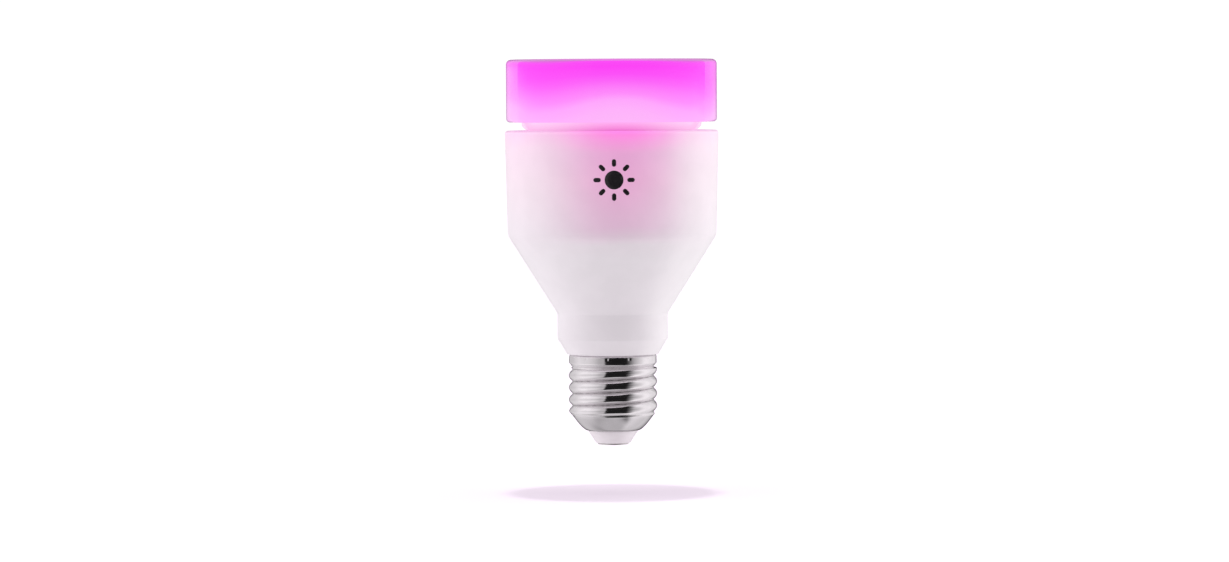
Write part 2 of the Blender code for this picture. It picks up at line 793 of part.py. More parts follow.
def shell_radius(angle, height):
    """Outer radius of the screw shell over its thread, which runs right-handed and fades at both ends."""
    plain = SHELL_BAND_RADIUS if height >= THREAD_TOP else ROOT_RADIUS
    mean = (CREST_RADIUS + ROOT_RADIUS) / 2
    depth = (CREST_RADIUS - ROOT_RADIUS) / 2
    wave = mean + depth * math.cos(math.tau * height / THREAD_PITCH - angle + THREAD_PHASE)
    inside = min(height - THREAD_FOOT, THREAD_TOP - height)
    share = min(max(inside / THREAD_FADE + 0.5, 0.0), 1.0)
    share = share * share * (3 - 2 * share)
    return plain + (wave - plain) * share


def shell_rows():
    """Rows of (angle, radius, height) up the shell's outside: its dome, its thread and its plain band."""
    angles = [math.tau * step / THREAD_STEPS for step in range(THREAD_STEPS)]
    rows = [[(angle, radius * MM, height * MM) for angle in angles] for height, radius in DOME]
    row_step = THREAD_PITCH / ROWS_PER_PITCH
    count = round((THREAD_TOP + THREAD_FADE / 2 - THREAD_FOOT) / row_step) + 1
    heights = [THREAD_FOOT + row_step * row for row in range(count)]
    for height in [*heights, SHELL_TOP]:
        rows.append([(angle, shell_radius(angle, height), height) for angle in angles])
    return rows


def make_screw_shell(looks):
    outside = shell_rows()
    inside = [[(angle, r - SHELL_SHEET, z) for angle, r, z in row] for row in reversed(outside)]
    rows = outside + inside
    shape = bmesh.new()
    rings = [
        [shape.verts.new((r * math.cos(angle), r * math.sin(angle), z)) for angle, r, z in row]
        for row in rows
    ]
    for index, ring in enumerate(rings):
        following = rings[(index + 1) % len(rings)]
        for step in range(THREAD_STEPS):
            ahead = (step + 1) % THREAD_STEPS
            shape.faces.new((ring[step], ring[ahead], following[ahead], following[step]))
    add_object("screw_shell", mesh_from(shape, "screw_shell"), looks["nickel"])


def make_cap(looks):
    make_screw_shell(looks)
    turned(
        "cap_insulator",
        [
            (STEM_RADIUS + 0.4 * MM, INSULATOR_FOOT, 0.0),
            (5.25 * MM, INSULATOR_FOOT, 0.5 * MM),
            (7.4 * MM, SHELL_FOOT - 0.2 * MM, 0.0),
            (7.4 * MM, 4.8 * MM, 0.0),
            (8.5 * MM, 5.5 * MM, 0.0),
            (10.2 * MM, 7.4 * MM, 0.0),
            (10.4 * MM, 8.6 * MM, 0.0),
            (STEM_RADIUS + 0.4 * MM, 8.6 * MM, 0.0),
        ],
        looks["insulator"],
        HIDDEN_TURN_STEPS,
        steps=HIDDEN_ROUND_STEPS,
    )
    turned(
        "centre_contact",
        [
            (0.0, STEM_TOP, 0.0),
            (STEM_RADIUS, STEM_TOP, 0.4 * MM),
            (STEM_RADIUS, CONTACT_THICKNESS, 0.0),
            (CONTACT_RADIUS, CONTACT_THICKNESS, 0.0),
            (CONTACT_RADIUS, 0.0, 0.3 * MM),
            (0.0, 0.0, 0.0),
        ],
        looks["nickel"],
        HIDDEN_TURN_STEPS,
        steps=HIDDEN_ROUND_STEPS,
    )


def make_mains_leads(looks):
    resistor_at = (-3.5 * MM, -2.0 * MM)
    lead = 0.4 * MM
    coat = 1.7 * MM
    low = 14.0 * MM
    high = 28.0 * MM
    turned(
        "fuse_resistor",
        [
            (0.0, high, 0.0),
            (lead, high, 0.0),
            (lead, 25.0 * MM, 0.0),
            (coat, 25.0 * MM, 0.8 * MM),
            (coat, 16.0 * MM, 0.8 * MM),
            (lead, 16.0 * MM, 0.0),
            (lead, low, 0.0),
            (0.0, low, 0.0),
        ],
        looks["resistor"],
        SMALL_TURN_STEPS,
        (*resistor_at, 0.0),
        HIDDEN_ROUND_STEPS,
    )
    wire(
        "live_lead",
        [
            (0.0, 0.0, STEM_TOP + GAP),
            (0.0, 0.0, 8.4 * MM),
            (-2.0 * MM, -1.0 * MM, 10.8 * MM),
            (*resistor_at, low - GAP),
        ],
        WIRE_RADIUS,
        looks["black_wire"],
    )
    wire(
        "fuse_lead",
        [
            (*resistor_at, high + GAP),
            (-3.5 * MM, -1.2 * MM, 30.4 * MM),
            (-3.5 * MM, 1.2 * MM, 31.4 * MM),
            (-3.5 * MM, DRIVER_FRONT - GAP, 31.6 * MM),
        ],
        0.4 * MM,
        looks["steel"],
    )
    wire(
        "neutral_lead",
        [
            (10.9 * MM, 2.5 * MM, 10.0 * MM),
            (8.4 * MM, 2.8 * MM, 10.2 * MM),
            (6.0 * MM, 3.8 * MM, 11.4 * MM),
            (5.0 * MM, 4.5 * MM, DRIVER_FOOT - GAP),
        ],
        WIRE_RADIUS,
        looks["red_wire"],
    )


def main():
    clear_scene()
    looks = make_materials()
    holes = board_holes()
    make_head(looks)
    make_body(looks)
    make_heat_sink(looks, holes)
    make_sleeve(looks)
    make_light_engine(looks, holes)
    make_driver_board(looks)
    make_driver_parts(looks)
    make_radio(looks)
    make_cap(looks)
    make_mains_leads(looks)


main()
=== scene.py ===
"""The looks of a smart light bulb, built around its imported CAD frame.

The bulb stands on its axis, +Z up, with its front towards -Y. Lengths are in metres.
"""

import json
import math

import bmesh
import bpy
from mathutils import Matrix, Vector


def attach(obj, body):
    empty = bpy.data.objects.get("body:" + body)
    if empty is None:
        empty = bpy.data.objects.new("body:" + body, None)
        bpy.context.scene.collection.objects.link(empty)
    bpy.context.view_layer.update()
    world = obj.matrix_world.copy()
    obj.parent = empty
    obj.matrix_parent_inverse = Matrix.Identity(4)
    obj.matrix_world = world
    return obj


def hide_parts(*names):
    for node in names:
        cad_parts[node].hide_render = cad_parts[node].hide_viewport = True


MM = 0.001
BODY = "root"
BLACK = (0.0, 0.0, 0.0)

# Steps round each rounded corner of a turned profile
ARC_STEPS = 8

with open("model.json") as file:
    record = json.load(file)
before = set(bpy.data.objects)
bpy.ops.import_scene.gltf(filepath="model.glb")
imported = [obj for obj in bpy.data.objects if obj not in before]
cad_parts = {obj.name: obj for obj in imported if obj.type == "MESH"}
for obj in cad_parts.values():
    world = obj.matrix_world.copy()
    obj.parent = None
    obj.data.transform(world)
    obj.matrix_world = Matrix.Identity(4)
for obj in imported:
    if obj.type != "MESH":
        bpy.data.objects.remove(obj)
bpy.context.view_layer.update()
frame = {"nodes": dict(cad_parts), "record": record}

# Sizes that the CAD nodes share with the detailed pieces
HEAD_RADIUS = 31.5 * MM
HEAD_BOTTOM = 96.5 * MM
HEAD_TOP = 115.2 * MM
HEAD_INNER = 28.0 * MM
HEAD_INNER_TOP = 114.6 * MM
NECK_RADIUS = 26.5 * MM
NECK_FOOT = 90.0 * MM
BODY_TOP = 94.0 * MM
BARREL_TOP_RADIUS = 31.95 * MM
BARREL_FOOT_RADIUS = 31.2 * MM
COLLAR_RADIUS = 16.5 * MM
COLLAR_TOP = 39.3 * MM
COLLAR_FOOT = 31.8 * MM
CONE_SLOPE = math.radians(32.2)
SHOULDER = COLLAR_TOP + (BARREL_FOOT_RADIUS - COLLAR_RADIUS) / math.tan(CONE_SLOPE)
BODY_FOOT = 27.1 * MM
THREAD_PITCH = 25.4 / 7 * MM
CREST_RADIUS = 13.2 * MM
ROOT_RADIUS = 12.1 * MM
SHELL_TOP = 27.0 * MM
SHELL_FOOT = 4.3 * MM
THREAD_FOOT = 9.3 * MM
THREAD_PHASE = math.radians(285)

# The screw shell's plain band: its rim rolls in, and a straight flank leads down to the first root
BAND_RADIUS = 13.1 * MM
BAND_FOOT = 22.9 * MM
BAND_FULL = 23.3 * MM
FLANK_TOP = 24.5 * MM
FLANK_FOOT = 23.25 * MM
FLANK_DEPTH = 1.0 * MM
DULL_START = 25.9 * MM
DULL_FULL = 26.5 * MM
ROLL_START = 26.35 * MM
ROLL_DEPTH = 0.26 * MM


# ---------------------------------------------------------------- node trees


class Nodes:
    """Adds nodes to one tree. An input's value is a number, a tuple or another node's output."""

    def __init__(self, tree):
        self.tree = tree
        self.count = 0

    def add(self, kind, inputs=(), **settings):
        node = self.tree.nodes.new("ShaderNode" + kind)
        self.count += 1
        node.location = (-220 * (self.count % 9) - 300, 260 * (self.count // 9) - 400)
        for name, value in settings.items():
            setattr(node, name, value)
        for key, value in dict(inputs).items():
            self.feed(node.inputs[key], value)
        return node

    def feed(self, socket, value):
        if isinstance(value, bpy.types.NodeSocket):
            self.tree.links.new(value, socket)
        else:
            socket.default_value = value

    def math(self, operation, *values):
        return self.add("Math", enumerate(values), operation=operation).outputs[0]

    def plus(self, first, *others):
        for other in others:
            first = self.math("ADD", first, other)
        return first

    def minus(self, first, second):
        return self.math("SUBTRACT", first, second)

    def times(self, first, *others):
        for other in others:
            first = self.math("MULTIPLY", first, other)
        return first

    def length(self, x, y):
        return self.math("SQRT", self.plus(self.times(x, x), self.times(y, y)))

    def fade(self, value, low, high, start=0.0, end=1.0, shape="SMOOTHSTEP"):
        """Goes smoothly from start, where value is low, to end, where it is high."""
        inputs = {"Value": value, 1: low, 2: high, 3: start, 4: end}
        return self.add("MapRange", inputs, interpolation_type=shape, clamp=True).outputs[0]

    def fade_out(self, value, low, high):
        return self.fade(value, low, high, 1.0, 0.0)

    def window(self, value, start, full, ending, end):
        """1 where value is from full to ending, fading to 0 at start and at end."""
        return self.times(self.fade(value, start, full), self.fade_out(value, ending, end))

    def ramp(self, factor, stops):
        """A colour ramp through (position, colour) stops."""
        node = self.add("ValToRGB", {0: factor})
        stretch = node.color_ramp.elements
        while len(stretch) < len(stops):
            stretch.new(0.5)
        for element, (position, colour) in zip(stretch, stops):
            element.position = position
            element.color = (*colour, 1.0)
        return node.outputs[0]

    def mix(self, factor, a, b, blend="MIX"):
        """Two colours mixed; each is a tuple of three or an output."""
        a, b = ((*c, 1.0) if isinstance(c, tuple) and len(c) == 3 else c for c in (a, b))
        return self.add("Mix", {0: factor, 6: a, 7: b}, data_type="RGBA", blend_type=blend).outputs[2]

    def mix_values(self, factor, a, b):
        return self.add("Mix", {0: factor, 2: a, 3: b}).outputs[0]

    def split(self, vector):
        parts = self.add("SeparateXYZ", {0: vector}).outputs
        return parts[0], parts[1], parts[2]


class Material(Nodes):
    """A Principled material under construction, with the object's own coordinates to hand."""

    def __init__(self, name, **sockets):
        self.made = bpy.data.materials.new(name)
        self.made.use_nodes = True
        super().__init__(self.made.node_tree)
        self.shader = self.tree.nodes["Principled BSDF"]
        self.coordinates = self.add("TexCoord").outputs
        self.where = self.coordinates["Object"]
        self.set(**sockets)

    def set(self, **sockets):
        """Feeds the shader's sockets; an underscore in a name stands for a space."""
        for name, value in sockets.items():
            if isinstance(value, tuple) and len(value) == 3:
                value = (*value, 1.0)
            self.feed(self.shader.inputs[name.replace("_", " ")], value)

    def axes(self):
        """The point's x, y and z in the object's own coordinates."""
        return self.split(self.where)

    def shares(self):
        """How far the point is across the object's own box on each axis, from 0 to 1."""
        return self.split(self.coordinates["Generated"])

    def radius(self):
        """Distance from the bulb's axis."""
        x, y, _ = self.axes()
        return self.length(x, y)

    def stretched(self, *scale):
        """The object's own coordinates, scaled along each axis."""
        return self.add("Mapping", {0: self.where, 3: scale}).outputs[0]

    def noise(self, scale, detail=3.0, rough=0.5, where=None):
        inputs = {"Vector": where or self.where, "Scale": scale, "Detail": detail, "Roughness": rough}
        return self.add("TexNoise", inputs).outputs[0]

    def cells(self, scale):
        return self.add("TexVoronoi", {"Vector": self.where, "Scale": scale}).outputs["Distance"]

    def spread(self, pattern, start=0.0, end=1.0):
        """Makes a noise pattern, whose values are mostly from 0.3 to 0.7, go from start to end."""
        return self.fade(pattern, 0.3, 0.7, start, end)

    def darkened(self, colour, level):
        """A colour multiplied by a level, where 1 leaves it as it is."""
        shade = self.add("CombineColor", {0: level, 1: level, 2: level}).outputs[0]
        return self.mix(1.0, colour, shade, "MULTIPLY")

    def light_up(self, glow):
        """Makes a lit plastic's colour mostly its own light, with a darker tone of it for other light."""
        self.set(Base_Color=self.mix(0.84, glow, BLACK), Emission_Color=glow, Emission_Strength=0.88)

    def grain(self, scale, depth=0.01 * MM):
        """A fine grain, as a layer for bumps."""
        return self.noise(scale), depth, 0.4

    def bumps(self, *layers):
        """Stacks (height, distance in metres, strength) layers of bump on the shader's normal."""
        normal = None
        for height, distance, strength in layers:
            inputs = {"Height": height, "Distance": distance, "Strength": strength}
            if normal is not None:
                inputs["Normal"] = normal
            normal = self.add("Bump", inputs).outputs[0]
        self.feed(self.shader.inputs["Normal"], normal)


def linear(red, green, blue):
    """A colour given in 8-bit display values, as the linear values that shaders take."""
    return tuple(((c / 255 + 0.055) / 1.055) ** 2.4 if c > 10 else c / 3295 for c in (red, green, blue))


# ---------------------------------------------------------------- mesh helpers


def finish_mesh(shape, name, looks, smooth_angle=40):
    """Turns a bmesh into a mesh with those materials, smooth but for edges sharper than the angle."""
    bmesh.ops.remove_doubles(shape, verts=shape.verts, dist=1e-6)
    bmesh.ops.recalc_face_normals(shape, faces=shape.faces)
    mesh = bpy.data.meshes.new(name)
    shape.to_mesh(mesh)
    shape.free()
    mesh.shade_smooth()
    mesh.set_sharp_from_angle(angle=math.radians(smooth_angle))
    for look in looks:
        mesh.materials.append(look)
    return mesh


def place(mesh, name, nodes=()):
    """Puts a finished mesh in the scene as a piece of the bulb that stands for those CAD nodes."""
    piece = bpy.data.objects.new(name, mesh)
    bpy.context.scene.collection.objects.link(piece)
    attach(piece, BODY)
    if nodes:
        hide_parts(*nodes)
    return piece


def rounded(corners):
    """A profile's (r, z, radius) corners as (r, z) points, with an arc of that radius at each corner."""
    points = []
    for index, (r, z, radius) in enumerate(corners):
        here = Vector((r, z))
        if radius == 0:
            points.append(here)
            continue
        before = Vector(corners[index - 1][:2]) - here
        after = Vector(corners[(index + 1) % len(corners)][:2]) - here
        half = before.angle(after) / 2
        back = radius / math.tan(half)
        centre = here + (before.normalized() + after.normalized()).normalized() * radius / math.sin(half)
        start = here + before.normalized() * back - centre
        sweep = start.angle_signed(here + after.normalized() * back - centre)
        for step in range(ARC_STEPS + 1):
            points.append(centre + Matrix.Rotation(-sweep * step / ARC_STEPS, 2) @ start)
    return points


def revolved(corners, segments=144, inner_from=None):
    """A profile turned about +Z. Its bands from number inner_from on take the second material."""
    shape = bmesh.new()
    points = rounded(corners)
    rings = []
    for point in points:
        count = segments if point.x > 0 else 1
        turns = [math.tau * step / segments for step in range(count)]
        places = [(point.x * math.cos(turn), point.x * math.sin(turn), point.y) for turn in turns]
        rings.append([shape.verts.new(here) for here in places])
    closed = points[0].x > 0 or points[-1].x > 0
    for index in range(len(rings) if closed else len(rings) - 1):
        upper, lower = rings[index], rings[(index + 1) % len(rings)]
        for step in range(segments):
            ahead = (step + 1) % segments
            round_face = [upper[step % len(upper)], upper[ahead % len(upper)]]
            round_face += [lower[ahead % len(lower)], lower[step % len(lower)]]
            # a ring that is a single point on the axis makes triangles
            face = shape.faces.new(list(dict.fromkeys(round_face)))
            if inner_from is not None and index >= inner_from:
                face.material_index = 1
    return shape


def share_of(value, low, high):
    """How far value is from low to high, held between 0 and 1."""
    return min(max((value - low) / (high - low), 0.0), 1.0)


def smooth_step(value, low, high):
    share = share_of(value, low, high)
    return share * share * (3 - 2 * share)


def blend(start, end, share):
    return start + (end - start) * share


# ---------------------------------------------------------------- materials of what shows

# The lit head's colours from its lower edge up to its flat top, whose rounded edge is darker with painted
# shade
LIT_STOPS = (
    (0.00, linear(254, 186, 250)),
    (0.20, linear(254, 180, 251)),
    (0.36, linear(254, 168, 252)),
    (0.46, linear(254, 142, 251)),
    (0.56, linear(253, 124, 250)),
    (0.66, linear(252, 100, 249)),
    (0.76, linear(252, 80, 248)),
    (0.88, linear(252, 67, 246)),
    (0.955, linear(249, 73, 244)),
    # the rounded top edge darkens through these last stops: painted shade
    (0.972, linear(236, 90, 232)),
    (0.988, linear(208, 106, 204)),
    (1.00, linear(200, 110, 196)),
)


def lit_gradient(look, shift=0.0):
    """The head's glow by height: palest low down on its four sides, and saturated at the top.

    Each term is a length by which a point takes its colour from higher or lower on the head.
    """
    x, y, z = look.axes()
    below_top = look.fade(z, HEAD_BOTTOM, HEAD_TOP - 3 * MM, 1.0, 0.12, "LINEAR")
    turn = look.plus(look.math("ARCTAN2", x, y), math.radians(6))
    lobes = look.math("COSINE", look.times(turn, 2.0))
    between_lobes = look.times(look.minus(1.0, look.times(lobes, lobes)), below_top, 4.9 * MM)
    drift = look.times(look.minus(look.noise(45.0, 2.0), 0.5), below_top, 3.0 * MM)

    # the flat top has a pale ring round its middle, and none of the rounded edge's painted shade
    radius = look.radius()
    ring = look.fade(radius, 27.5 * MM, 19.0 * MM, 0.0, 7.5 * MM)
    middle = look.fade(radius, 13.0 * MM, 3.0 * MM, 0.0, 2.5 * MM)
    flat = look.fade(radius, 30.7 * MM, 29.3 * MM, 0.0, 1.3 * MM)
    flat = look.times(flat, look.fade(z, 113.7 * MM, 115.0 * MM))

    height = look.minus(look.plus(z, between_lobes, drift, middle), look.plus(ring, flat))
    height = look.plus(height, shift)
    return look.ramp(look.fade(height, HEAD_BOTTOM, HEAD_TOP, shape="LINEAR"), LIT_STOPS)


def diffuser_skin():
    """The head's clear-frosted outer skin, through which the opal inner face shows.

    Its colour is deeper at the right and a little at the left, which is painted shade, and paler high up
    on the left, which is a painted highlight.
    """
    look = Material("frosted_skin", Alpha=0.71, IOR=1.46, Specular_IOR_Level=0.1)
    look.set(Coat_Weight=1.0, Coat_IOR=1.25, Coat_Roughness=0.1)
    x, _, z = look.axes()
    # painted shade at the right and left edges and a painted highlight high up on the left, as shifts
    # along the glow's colours
    right = look.times(look.fade(x, 24 * MM, 30 * MM), look.fade_out(z, 109 * MM, 113.6 * MM))
    left = look.times(look.fade_out(x, -26 * MM, -18 * MM), look.fade_out(z, 108 * MM, 112 * MM))
    upper = look.window(z, 103 * MM, 112 * MM, 112.4 * MM, 114.2 * MM)
    upper_left_highlight = look.times(look.fade_out(x, -31 * MM, -24 * MM), upper)
    deeper = look.plus(look.times(right, 3.2 * MM), look.times(left, 0.8 * MM))
    look.light_up(lit_gradient(look, look.minus(deeper, look.times(upper_left_highlight, 4.0 * MM))))
    look.set(Roughness=look.spread(look.noise(160.0), 0.36, 0.48))
    look.bumps((look.noise(5200.0, 2.0), 0.02 * MM, 0.25), (look.noise(60.0, 2.0), 0.15 * MM, 0.12))
    return look.made


def diffuser_opal():
    """The opal inner face that spreads the LEDs' light."""
    look = Material("opal_inner_face", IOR=1.46, Specular_IOR_Level=0.25)
    look.light_up(lit_gradient(look))
    look.set(Roughness=look.spread(look.noise(240.0), 0.5, 0.65))
    look.bumps((look.noise(2600.0, 2.0), 0.03 * MM, 0.3))
    return look.made


def front_and_back(look, sharpness):
    """1 along the bulb's front and back, falling to 0 at its two sides."""
    turned = math.radians(4.5)
    x, y, _ = look.axes()
    along = look.minus(look.times(x, math.sin(turned)), look.times(y, math.cos(turned)))
    facing = look.math("DIVIDE", look.math("ABSOLUTE", along), look.radius())
    return look.math("POWER", facing, sharpness)


# The lit neck's colours at its foot, halfway up and at its top: at its sides, and along its front and back
NECK_SKIN_PALE = (linear(245, 188, 230), linear(250, 204, 240), linear(254, 216, 247))
NECK_SKIN_DEEP = (linear(238, 128, 212), linear(248, 162, 230), linear(255, 184, 243))
NECK_OPAL_PALE = (linear(245, 182, 228), linear(250, 200, 240), linear(254, 210, 246))
NECK_OPAL_DEEP = (linear(232, 112, 205), linear(247, 152, 226), linear(254, 178, 241))
# painted shade at the neck's left and right edges
NECK_SIDE_SHADE = linear(246, 188, 230)


def neck_glow(name, alpha, pale, deep):
    """The recessed neck's glow by height, deeper in colour along the front and back than at the sides,
    with painted shade at its left and right edges.
    """
    look = Material(name, Alpha=alpha, IOR=1.46, Specular_IOR_Level=0.2)
    x, _, z = look.axes()
    height = look.fade(z, BODY_TOP, HEAD_BOTTOM, shape="LINEAR")
    sides, front = (look.ramp(height, tuple(zip((0.0, 0.5, 1.0), colours))) for colours in (pale, deep))
    glow = look.mix(front_and_back(look, 5.0), sides, front)
    # painted shade towards the neck's left and right edges
    edge = look.fade(look.math("ABSOLUTE", x), 23.0 * MM, 25.6 * MM, 0.0, 0.7)
    look.light_up(look.mix(edge, glow, NECK_SIDE_SHADE))
    look.set(Roughness=look.spread(look.noise(300.0), 0.38, 0.5))
    look.bumps((look.noise(3600.0, 2.0), 0.02 * MM, 0.3))
    return look.made


# The white barrel's tint from low on it up to its rim, which is the head's pink light painted on: at its
# sides, and along its front and back
BARREL_PAINTED_GLOW_SIDES = (
    (0.00, (0.815, 0.762, 0.810)),
    (0.23, (0.845, 0.765, 0.830)),
    (0.60, (0.890, 0.745, 0.836)),
    (0.88, (0.920, 0.710, 0.850)),
    (1.00, (0.950, 0.640, 0.870)),
)
BARREL_PAINTED_GLOW_FRONT = (
    (0.00, (0.815, 0.762, 0.810)),
    (0.12, (0.810, 0.735, 0.795)),
    (0.26, (0.855, 0.570, 0.765)),
    (0.60, (0.960, 0.490, 0.780)),
    (0.84, (0.950, 0.455, 0.790)),
    (0.93, (0.950, 0.370, 0.800)),
    (1.00, (0.980, 0.280, 0.820)),
)


def housing_plastic():
    """Matt white moulding with a spark-eroded grain. The head's pink light is painted down its barrel,
    with a painted glow near its top, a painted highlight on its right side and painted shade along its
    rounded rim.
    """
    look = Material("matt_white_housing", IOR=1.48, Sheen_Weight=0.38, Sheen_Roughness=0.35)
    x, _, z = look.axes()
    drift = look.times(look.minus(look.noise(35.0, 2.0), 0.5), 4.0 * MM)
    height = look.fade(look.plus(z, drift), 56.0 * MM, BODY_TOP, shape="LINEAR")
    # the head's pink light, painted on the barrel, strongest along the front and back
    glow = front_and_back(look, 6.8)
    tint = look.mix(glow, look.ramp(height, BARREL_PAINTED_GLOW_SIDES), look.ramp(height, BARREL_PAINTED_GLOW_FRONT))
    # a painted highlight on the right side, paling the painted pink there
    right = look.fade(look.math("DIVIDE", x, look.radius()), 0.45, 0.8, 0.0, 0.3)
    tint = look.mix(right, tint, (0.94, 0.91, 0.925))
    blotch = look.fade(look.noise(140.0, 4.0), 0.35, 0.65, 0.975, 1.0)
    # painted shade along the rounded top edge of the rim
    rim = look.fade(z, 93.2 * MM, 93.7 * MM, 1.0, 0.86)
    look.set(Base_Color=look.darkened(tint, look.times(blotch, rim)))
    # a painted glow of the head's light in the top of the barrel, strongest along the front and back
    painted_glow = look.times(look.plus(glow, 0.15), look.fade(z, 86.0 * MM, BODY_TOP, 0.0, 0.195))
    look.set(Emission_Color=look.mix(painted_glow, BLACK, (1.0, 0.03, 0.46)), Emission_Strength=1.0)
    look.set(Roughness=look.spread(look.noise(420.0), 0.40, 0.50))
    look.bumps((look.cells(3300.0), 0.015 * MM, 0.35), (look.noise(7200.0, 2.0), 0.01 * MM, 0.3))
    return look.made


def nickel():
    """Bright nickel over rolled sheet: fine scratches and dull roots. A dark line at the bottom of each
    root is painted shade with a little tarnish, and the domed foot is darkened by painted shade.

    The shell's "crest" attribute is 0 at a root, 1 at a crest and more on the plain band's dull flank.
    """
    look = Material("bright_nickel", Metallic=1.0)
    crest = look.add("Attribute", attribute_name="crest").outputs["Fac"]
    root = look.fade_out(crest, 0.30, 0.62)
    flank = look.fade(crest, 1.1, 1.6)
    smudge = look.noise(260.0)
    # a dark line at the bottom of each root: painted shade, a little uneven like tarnish
    root_shade_and_tarnish = look.times(look.fade_out(crest, 0.02, 0.17), look.fade(smudge, 0.2, 0.6, 0.7, 1.0), 0.62)
    plate = look.mix(look.spread(smudge), (0.81, 0.775, 0.80), (0.76, 0.725, 0.75))
    # darker towards the domed foot: painted shade
    foot = look.fade(look.axes()[2], 7.8 * MM, 9.6 * MM, 0.52, 0.0)
    plate = look.mix(foot, plate, (0.42, 0.40, 0.42))
    look.set(Base_Color=look.mix(root_shade_and_tarnish, plate, (0.16, 0.14, 0.15)))
    scratches = look.noise(900.0, 4.0, 0.7, look.stretched(0.25, 0.25, 6.0))
    polish = look.fade(scratches, 0.35, 0.75, 0.06, 0.15)
    look.set(Roughness=look.plus(polish, look.times(root, 0.19), look.times(flank, 0.2)))
    look.bumps((scratches, 0.004 * MM, 0.25), (look.noise(330.0, 2.0), 0.03 * MM, 0.14))
    return look.made


def contact_metal():
    """The end contact: nickelled brass, dulled where the lamp holder's spring rubs it."""
    look = Material("contact_metal", Metallic=1.0)
    rubbed = look.fade_out(look.radius(), 1.0 * MM, 3.2 * MM)
    marks = look.noise(1600.0, 5.0, 0.7)
    plate = look.mix(look.times(rubbed, marks), (0.72, 0.70, 0.69), (0.70, 0.60, 0.42))
    look.set(Base_Color=plate, Roughness=look.spread(marks, 0.34, 0.5))
    look.bumps((marks, 0.01 * MM, 0.4))
    return look.made


def insulator_plastic():
    """Off-white cap insulator, smooth and slightly glossy, with faint flow marks."""
    look = Material("insulator_white", IOR=1.5, Coat_Weight=0.2, Coat_Roughness=0.2)
    flow = look.noise(170.0, 4.0, 0.6, look.stretched(1.0, 1.0, 3.0))
    look.set(Base_Color=look.mix(look.spread(flow), (0.80, 0.735, 0.79), (0.76, 0.69, 0.745)))
    look.set(Roughness=look.spread(flow, 0.30, 0.42))
    look.bumps((look.noise(3000.0, 2.0), 0.01 * MM, 0.25))
    return look.made


def print_ink():
    """Black ink, slightly uneven."""
    look = Material("black_print", IOR=1.5)
    speckle = look.noise(2600.0)
    tone = look.fade(speckle, 0.4, 0.8)
    look.set(Base_Color=look.mix(tone, (0.006, 0.004, 0.007), (0.022, 0.016, 0.022)))
    look.set(Roughness=look.spread(speckle, 0.42, 0.6))
    look.bumps((speckle, 0.01 * MM, 0.3))
    return look.made


# ---------------------------------------------------------------- materials of the inner parts


def mottled(name, light, dark, scale, gloss, **sockets):
    """A material whose colour drifts between two tones, with an uneven gloss."""
    look = Material(name, **sockets)
    look.set(Base_Color=look.mix(look.spread(look.noise(scale, 4.0, 0.6)), light, dark))
    look.set(Roughness=look.spread(look.noise(2.3 * scale), *gloss))
    return look


def cast_aluminium():
    """Die-cast aluminium with a satin skin and the rings of a lathe tool on its turned faces."""
    tones = (0.66, 0.67, 0.69), (0.54, 0.55, 0.57)
    look = mottled("cast_aluminium", *tones, 190.0, (0.34, 0.52), Metallic=1.0)
    rings = look.math("SINE", look.times(look.radius(), math.tau / (0.35 * MM)))
    turned_face = look.fade(look.axes()[2], 87.0 * MM, 88.5 * MM)
    look.bumps(look.grain(2400.0, 0.02 * MM), (look.times(rings, turned_face), 0.008 * MM, 0.5))
    return look.made


def sleeve_plastic():
    """White moulded sleeve with faint flow marks along it."""
    look = mottled("sleeve_plastic", (0.87, 0.87, 0.84), (0.80, 0.80, 0.77), 90.0, (0.42, 0.58), IOR=1.5)
    flow = look.noise(120.0, 3.0, 0.6, look.stretched(1.0, 1.0, 0.2))
    look.bumps((flow, 0.04 * MM, 0.3), look.grain(3000.0))
    return look.made


def gap_filler():
    """Soft grey pad with the weave of its glass-fibre carrier."""
    look = mottled("gap_filler", (0.42, 0.44, 0.48), (0.35, 0.37, 0.41), 160.0, (0.62, 0.8), IOR=1.45)
    x, y, _ = look.axes()
    threads = [look.math("SINE", look.times(axis, math.tau / (0.7 * MM))) for axis in (x, y)]
    look.bumps((look.times(*threads), 0.03 * MM, 0.6))
    return look.made


def circuit_board(name, mask, under_copper, block, pads):
    """Solder mask that is a little paler and raised over its blocky copper areas, with tinned pads."""
    look = Material(name, IOR=1.52, Coat_Weight=0.3, Coat_Roughness=0.15)
    blocks = look.add("VectorMath", {0: look.where, 1: block}, operation="SNAP").outputs[0]
    copper = look.fade(look.noise(190.0, 1.0, 0.5, blocks), 0.47, 0.49)
    dots = look.fade_out(look.cells(pads), 0.13, 0.16)
    pad = look.times(dots, look.fade(look.noise(240.0), 0.50, 0.54))
    speckle = look.spread(look.noise(2200.0), 0.9, 1.0)
    masked = look.darkened(look.mix(copper, mask, under_copper), speckle)
    look.set(Base_Color=look.mix(pad, masked, (0.72, 0.72, 0.70)), Metallic=pad)
    look.set(Roughness=look.spread(look.noise(600.0), 0.26, 0.4))
    look.bumps((copper, 0.035 * MM, 0.7), (pad, 0.05 * MM, 0.6))
    return look.made


